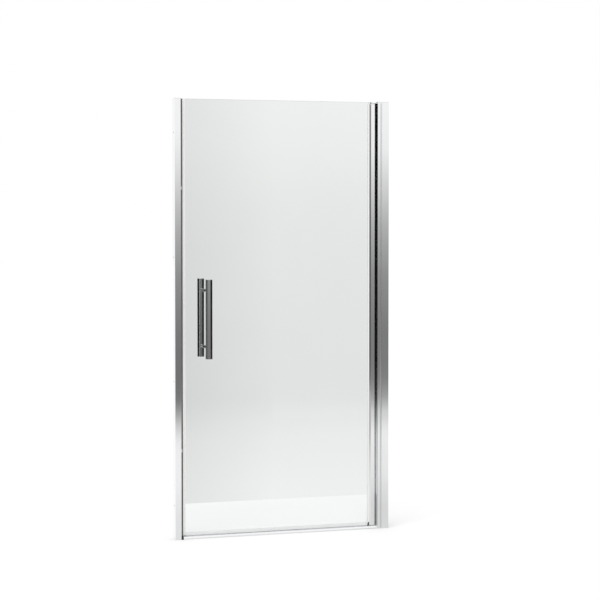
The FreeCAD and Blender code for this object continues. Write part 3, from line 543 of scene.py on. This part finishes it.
def cover_caps():
    """Two domed caps over the jamb's screws."""
    low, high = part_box("screw_cover_caps")
    radius = (high.y - low.y) / 2
    crown = high.x - low.x - CAP_LIP
    profile = [(0.0, 0.0), (radius, 0.0), (radius, CAP_LIP)]
    for step in range(1, CAP_STEPS + 1):
        across, up = polar(1.0, 90.0 * step / CAP_STEPS)
        profile.append((radius * across, CAP_LIP + crown * up))
    work = bmesh.new()
    middle_y = (low.y + high.y) / 2
    for z in (low.z + radius, high.z - radius):
        add_lathe(work, profile, turn_to((low.x, middle_y, z), (1, 0, 0)), CAP_SEGMENTS)
    piece = linked("domed_cover_caps", mesh_from("domed_cover_caps", work))
    finish(ride_as(piece, "frame", "plated_plastic", "screw_cover_caps"), PLATED)


def handle_bar(node):
    """A tube with softly rounded rims."""
    low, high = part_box(node)
    radius = (high.x - low.x) / 2
    bore = radius - BAR_WALL
    centre = (low + high) / 2
    length = high.z - low.z
    straight = RIM_ROUND + RIM_KEEP
    profile = [(bore, straight)]
    profile += arc((bore + RIM_ROUND, RIM_ROUND), RIM_ROUND, 180.0, 270.0)
    profile += arc((radius - RIM_ROUND, RIM_ROUND), RIM_ROUND, 270.0, 360.0)
    profile += [(radius, straight), (radius, length - straight)]
    profile += arc((radius - RIM_ROUND, length - RIM_ROUND), RIM_ROUND, 0.0, 90.0)
    profile += arc((bore + RIM_ROUND, length - RIM_ROUND), RIM_ROUND, 90.0, 180.0)
    profile += [(bore, length - straight), (bore, straight)]
    work = bmesh.new()
    add_lathe(work, profile, turn_to((centre.x, centre.y, low.z), (0, 0, 1)))
    bmesh.ops.remove_doubles(work, verts=work.verts, dist=TINY)
    piece = linked(node + "_tube", mesh_from(node + "_tube", work))
    finish(ride_as(piece, "leaf", "chrome", node), CHROME)


def bar_end_plugs():
    """The four plugs in the bars' ends, each with its face's edge rounded."""
    low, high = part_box("handle_end_plugs")
    bar_low, bar_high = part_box("outer_handle_bar")
    radius = (high.x - low.x) / 2
    rounding = (radius - PLUG_BEVEL, PLUG_SINK + PLUG_BEVEL)
    profile = [(0.0, PLUG_DEPTH), (radius, PLUG_DEPTH), (radius, PLUG_SINK + PLUG_BEVEL)]
    profile += arc(rounding, PLUG_BEVEL, 0.0, -90.0)[1:]
    profile += [(radius - PLUG_BEVEL - RIM_KEEP, PLUG_SINK), (0.0, PLUG_SINK)]
    x = (low.x + high.x) / 2
    offset = -(bar_low.y + bar_high.y) / 2
    work = bmesh.new()
    for y in (-offset, offset):
        add_lathe(work, profile, turn_to((x, y, low.z), (0, 0, 1)))
        add_lathe(work, profile, turn_to((x, y, high.z), (0, 0, -1)))
    piece = linked("bar_end_plugs", mesh_from("bar_end_plugs", work))
    finish(ride_as(piece, "leaf", "chrome", "handle_end_plugs"), CHROME)


def handle_posts(node, side):
    """Two round posts that run from their seat on the glass's sleeves into the bar."""
    low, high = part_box(node)
    radius = (high.x - low.x) / 2
    foot = min(abs(low.y), abs(high.y))
    length = max(abs(low.y), abs(high.y)) - foot
    x = (low.x + high.x) / 2
    profile = [(0.0, 0.0), (radius - POST_BEVEL, 0.0)]
    profile += arc((radius - POST_BEVEL, POST_BEVEL), POST_BEVEL, -90.0, 0.0)[1:]
    profile += [(radius, POST_BEVEL + RIM_KEEP), (radius, length), (0.0, length)]
    work = bmesh.new()
    for z in (low.z + radius, high.z - radius):
        add_lathe(work, profile, turn_to((x, side * foot, z), (0, side, 0)), POST_SEGMENTS)
    piece = linked(node + "_turned", mesh_from(node + "_turned", work))
    finish(ride_as(piece, "leaf", "chrome", node), CHROME)


# Studio: helpers for node trees

def times(tree, first, second):
    """The product of a node's value with another's, or with a number."""
    product = tree.nodes.new("ShaderNodeMath")
    product.operation = "MULTIPLY"
    tree.links.new(first, product.inputs[0])
    if isinstance(second, float):
        product.inputs[1].default_value = second
    else:
        tree.links.new(second, product.inputs[1])
    return product.outputs[0]


def seen_by(tree, names):
    """One where the light path is any of the named kinds of ray, and zero elsewhere."""
    path = tree.nodes.new("ShaderNodeLightPath")
    total = path.outputs[names[0]]
    for name in names[1:]:
        larger = tree.nodes.new("ShaderNodeMath")
        larger.operation = "MAXIMUM"
        tree.links.new(total, larger.inputs[0])
        tree.links.new(path.outputs[name], larger.inputs[1])
        total = larger.outputs[0]
    return total


def graded(tree, axis, levels):
    """Brightness along an axis of object coordinates. The levels are (place, brightness) pairs."""
    coordinates = tree.nodes.new("ShaderNodeTexCoord")
    split = tree.nodes.new("ShaderNodeSeparateXYZ")
    tree.links.new(coordinates.outputs["Object"], split.inputs["Vector"])
    start = levels[0][0]
    end = levels[-1][0]
    share = tree.nodes.new("ShaderNodeMapRange")
    share.inputs["From Min"].default_value = start
    share.inputs["From Max"].default_value = end
    tree.links.new(split.outputs[axis], share.inputs["Value"])
    ramp = tree.nodes.new("ShaderNodeFloatCurve")
    curve = ramp.mapping.curves[0]
    while len(curve.points) < len(levels):
        curve.points.new(0.5, 0.5)  # each point gets its place below
    for spot, (place, level) in zip(curve.points, levels):
        spot.location = ((place - start) / (end - start), level / LEVEL_LIMIT)
        spot.handle_type = "VECTOR"
    ramp.mapping.update()
    tree.links.new(share.outputs["Result"], ramp.inputs["Value"])
    return times(tree, ramp.outputs["Value"], LEVEL_LIMIT)


def glow_of(tree, level):
    glow = tree.nodes.new("ShaderNodeEmission")
    tree.links.new(level, glow.inputs["Strength"])
    return glow.outputs["Emission"]


def once_met(tree, depth, before, after):
    """One shader for rays that haven't met a mirror or a clear piece, and another for those that have."""
    path = tree.nodes.new("ShaderNodeLightPath")
    met = tree.nodes.new("ShaderNodeMath")
    met.operation = "GREATER_THAN"
    met.inputs[1].default_value = MET_LIMIT
    tree.links.new(path.outputs[depth], met.inputs[0])
    mix = tree.nodes.new("ShaderNodeMixShader")
    tree.links.new(met.outputs[0], mix.inputs["Fac"])
    tree.links.new(before, mix.inputs[1])
    tree.links.new(after, mix.inputs[2])
    return mix.outputs[0]


def surface(tree, shader):
    tree.links.new(shader, tree.nodes["Material Output"].inputs["Surface"])


def bare_material(name):
    material = bpy.data.materials.new(name)
    material.use_nodes = True
    material.node_tree.nodes.remove(material.node_tree.nodes["Principled BSDF"])
    return material


# Studio: camera, light, floor and cards

def aimed_camera():
    data = bpy.data.cameras.new("camera")
    data.lens = CAMERA_LENS
    data.sensor_width = CAMERA_SENSOR
    data.shift_y = CAMERA_SHIFT
    camera = linked("camera", data)
    camera.location = CAMERA_PLACE
    camera.rotation_euler = (math.radians(90.0 - CAMERA_PITCH), 0.0, math.radians(-CAMERA_YAW))
    bpy.context.scene.camera = camera


def pale_world():
    world = bpy.data.worlds.new("pale_world")
    bpy.context.scene.world = world
    world.use_nodes = True
    tree = world.node_tree
    background = tree.nodes["Background"]
    background.inputs["Color"].default_value = (1.0, 1.0, 1.0, 1.0)
    strength = tree.nodes.new("ShaderNodeMapRange")
    strength.inputs["To Min"].default_value = WORLD_FILL
    strength.inputs["To Max"].default_value = WORLD_WHITE
    tree.links.new(seen_by(tree, EYE_AND_MIRRORS), strength.inputs["Value"])
    tree.links.new(strength.outputs["Result"], background.inputs["Strength"])


def stage_card(name, corners, material):
    mesh = bpy.data.meshes.new(name)
    mesh.from_pydata([Vector(corner) for corner in corners], [], [tuple(range(len(corners)))])
    mesh.materials.append(material)
    card = linked(name, mesh)
    return card


def pale_floor():
    material = bare_material("pale_floor")
    tree = material.node_tree
    matt = tree.nodes.new("ShaderNodeBsdfDiffuse")
    matt.inputs["Color"].default_value = FLOOR_COLOUR
    fill = glow_of(tree, times(tree, seen_by(tree, EYE_AND_MIRRORS), FLOOR_FILL))
    both = tree.nodes.new("ShaderNodeAddShader")
    tree.links.new(matt.outputs[0], both.inputs[0])
    tree.links.new(fill, both.inputs[1])
    surface(tree, both.outputs[0])
    stage_card("floor", [(-FLOOR_HALF, -FLOOR_HALF, 0), (FLOOR_HALF, -FLOOR_HALF, 0),
                         (FLOOR_HALF, FLOOR_HALF, 0), (-FLOOR_HALF, FLOOR_HALF, 0)], material)


def mirror_material(name, axis, levels, second_axis=None, second_levels=None):
    """Light that shows only in mirrors, graded along one axis or along two."""
    material = bare_material(name)
    tree = material.node_tree
    clear = tree.nodes.new("ShaderNodeBsdfTransparent")
    level = graded(tree, axis, levels)
    if second_axis:
        level = times(tree, level, graded(tree, second_axis, second_levels))
    surface(tree, once_met(tree, "Glossy Depth", clear.outputs[0], glow_of(tree, level)))
    return material


def hidden_card(name, corners, material):
    """A stage card that is hidden from the eye and from matt surfaces, and casts no shadow."""
    card = stage_card(name, corners, material)
    card.visible_camera = False
    card.visible_diffuse = False
    card.visible_shadow = False


def upright_card(name, start, end, material, height=CARD_HEIGHT):
    """A hidden card that stands on the floor between two plan points."""
    corners = [(*start, 0.0), (*end, 0.0), (*end, height), (*start, height)]
    hidden_card(name, corners, material)


def mirror_mats():
    """The floor before and behind the door, as mirrors see it."""
    before = mirror_material("mat_before", "X", MAT_ACROSS, "Y", MAT_ALONG)
    hidden_card("mat_before", [
        (CARD_LEFT_X, CARD_FRONT_Y, MAT_LIFT), (FLAG_RIGHT_X, CARD_FRONT_Y, MAT_LIFT),
        (FLAG_RIGHT_X, -MAT_GAP, MAT_LIFT), (CARD_LEFT_X, -MAT_GAP, MAT_LIFT)], before)
    behind = mirror_material("mat_behind", "Y", MAT_BEHIND)
    hidden_card("mat_behind", [
        (MAT_DOOR_LEFT_X, MAT_GAP, MAT_LIFT), (MAT_DOOR_RIGHT_X, MAT_GAP, MAT_LIFT),
        (MAT_BACK_RIGHT_X, CARD_BACK_Y, MAT_LIFT), (MAT_BACK_LEFT_X, CARD_BACK_Y, MAT_LIFT)], behind)


def mirror_cards():
    """The walls of the room as mirrors see them. A flag is a card that is dark above its foot."""
    front = mirror_material("front_card", "Z", FRONT_LEVELS)
    right = mirror_material("right_card", "Z", RIGHT_LEVELS)
    dim = mirror_material("dim_card", "Z", LEFT_LEVELS)
    near = mirror_material("near_card", "Z", NEAR_LEVELS)
    dark = mirror_material("dark_flag", "Z", FLAG_LEVELS)
    inner = mirror_material("inner_card", "Z", INNER_LEVELS)
    side = mirror_material("side_card", "Z", SIDE_LEVELS)
    back = mirror_material("back_flag", "Z", BACK_LEVELS)
    upright_card("front_card", (CARD_LEFT_X, CARD_FRONT_Y), (CARD_SEAM_X, CARD_FRONT_Y), front)
    upright_card("front_right_card", (CARD_SEAM_X, CARD_FRONT_Y), (CARD_RIGHT_X, CARD_FRONT_Y), right)
    upright_card("left_card", (CARD_LEFT_X, CARD_FRONT_Y), (CARD_LEFT_X, CARD_TURN_Y), dim)
    upright_card("left_near_card", (CARD_LEFT_X, CARD_TURN_Y), (CARD_LEFT_X, CARD_LEFT_END_Y), near)
    upright_card("front_flag", (CARD_RIGHT_X, CARD_FRONT_Y), (FLAG_RIGHT_X, CARD_FRONT_Y), dark)
    upright_card("right_flag", (FLAG_RIGHT_X, CARD_FRONT_Y), (FLAG_RIGHT_X, 0.0), dark)
    upright_card("right_card", (FLAG_RIGHT_X, 0.0), (FLAG_RIGHT_X, CARD_BACK_Y), side)
    upright_card("left_flag", (CARD_LEFT_X, CARD_LEFT_END_Y), (CARD_LEFT_X, CARD_BACK_Y), dark)
    upright_card("back_left_flag", (CARD_LEFT_X, CARD_BACK_Y), (CORNER_END_X, CARD_BACK_Y), dark)
    upright_card("back_right_card", (FLAG_BACK_RIGHT_X, CARD_BACK_Y), (FLAG_RIGHT_X, CARD_BACK_Y), inner)
    upright_card("back_flag", (FLAG_BACK_LEFT_X, CARD_BACK_Y), (FLAG_BACK_RIGHT_X, CARD_BACK_Y), back)


def glow_card_behind_glass():
    """A glowing card that shows only through clear pieces: painted light and shade to the eye, painted shade
    to mirrors.
    """
    material = bare_material("painted_light_behind_glass")
    tree = material.node_tree
    clear = tree.nodes.new("ShaderNodeBsdfTransparent")
    # painted light and shade, seen through the pane
    tone = times(tree, graded(tree, "X", TONE_ACROSS), graded(tree, "Z", TONE_UP))
    shade = glow_of(tree, graded(tree, "Z", SHADE_UP))
    mirrored = once_met(tree, "Transmission Depth", clear.outputs[0], shade)
    surface(tree, once_met(tree, "Glossy Depth", glow_of(tree, tone), mirrored))
    upright_card("painted_light_behind_glass", (TONE_LEFT_X, TONE_Y), (TONE_RIGHT_X, TONE_Y), material, TONE_HEIGHT)


def key_light():
    data = bpy.data.lights.new("key_light", "SUN")
    data.angle = math.radians(KEY_ANGLE)
    data.energy = KEY_POWER
    lamp = linked("key_light", data)
    lamp.rotation_euler = [math.radians(angle) for angle in KEY_TILT]
    lamp.visible_glossy = False


def main():
    finish_cad_nodes()
    round_the_edges()
    cover_caps()
    handle_bar("outer_handle_bar")
    handle_bar("inner_handle_bar")
    bar_end_plugs()
    handle_posts("outer_handle_posts", -1)
    handle_posts("inner_handle_posts", 1)
    aimed_camera()
    pale_world()
    pale_floor()
    mirror_mats()
    mirror_cards()
    glow_card_behind_glass()
    key_light()
    bpy.context.scene.view_settings.view_transform = "Standard"


main()
